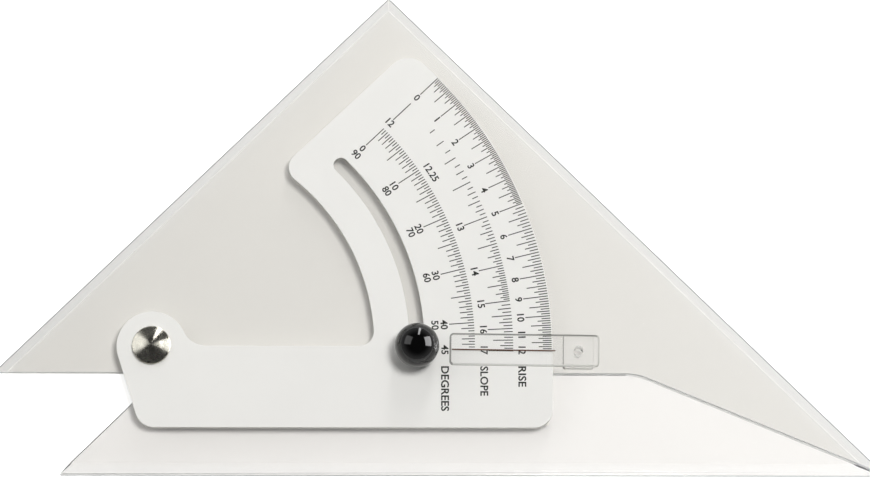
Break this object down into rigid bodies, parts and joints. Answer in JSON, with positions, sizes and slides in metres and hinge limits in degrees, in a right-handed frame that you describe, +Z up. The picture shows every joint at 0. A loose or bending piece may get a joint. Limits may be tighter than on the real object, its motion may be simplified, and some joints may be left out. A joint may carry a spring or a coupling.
{
  "type": "adjustable drafting triangle",
  "caption": "Adjustable drafting triangle: a clear right-angled sheet with a clear blade that swings about a pivot, a white scale plate clamped by a ball knob, and a clear hairline cursor.",
  "frame": {"origin": "middle of the closed outline's plan box, on the underside that lies on the paper", "axes": "+X along the base edge away from the pivot, +Y from the base edge to the apex, +Z up from the paper"},
  "size_m": [0.3144, 0.1796, 0.0211],
  "materials": {
    "clear_acrylic": "polished clear acrylic sheet",
    "clear_cursor": "moulded clear acrylic",
    "white_plastic": "satin white plastic with printed scales",
    "adhesive": "transfer adhesive",
    "nickel_plate": "turned and nickel plated",
    "steel": "zinc plated",
    "brass": "machined",
    "black_phenolic": "moulded and polished",
    "nylon": "natural nylon",
    "red_fill": "paint in an engraved line"
  },
  "bodies": {
    "triangle": {"triangle": "clear_acrylic", "pivot_post": "nickel_plate", "friction_washer": "nylon", "cap_washer": "nylon", "pivot_cap": "nickel_plate", "clamp_stud": "steel", "cursor_window": "clear_cursor", "cursor_foot": "clear_cursor", "cursor_pin": "clear_cursor", "hairline": "red_fill"},
    "blade": {"blade": "clear_acrylic", "scale_plate": "white_plastic", "adhesive_film": "adhesive"},
    "clamp_washer": {"clamp_washer": "steel"},
    "knob": {"knob": "black_phenolic", "knob_insert": "brass"}
  },
  "joints": [
    {"name": "blade_swing", "type": "hinge", "parent": "triangle", "child": "blade", "pos_m": [-0.1019, -0.0432, 0], "axis": [0, 0, -1], "range_deg": [0, 45]},
    {"name": "washer_lift", "type": "slide", "parent": "triangle", "child": "clamp_washer", "axis": [0, 0, 1], "range_m": [0, 0.00085]},
    {"name": "knob_turn", "type": "hinge", "parent": "clamp_washer", "child": "knob", "pos_m": [-0.00631, -0.04437, 0], "axis": [0, 0, 1], "range_deg": [0, 360]}
  ],
  "couplings": [
    {"joint": "washer_lift", "follows": "knob_turn", "m_per_rad": 0.00012732}
  ]
}
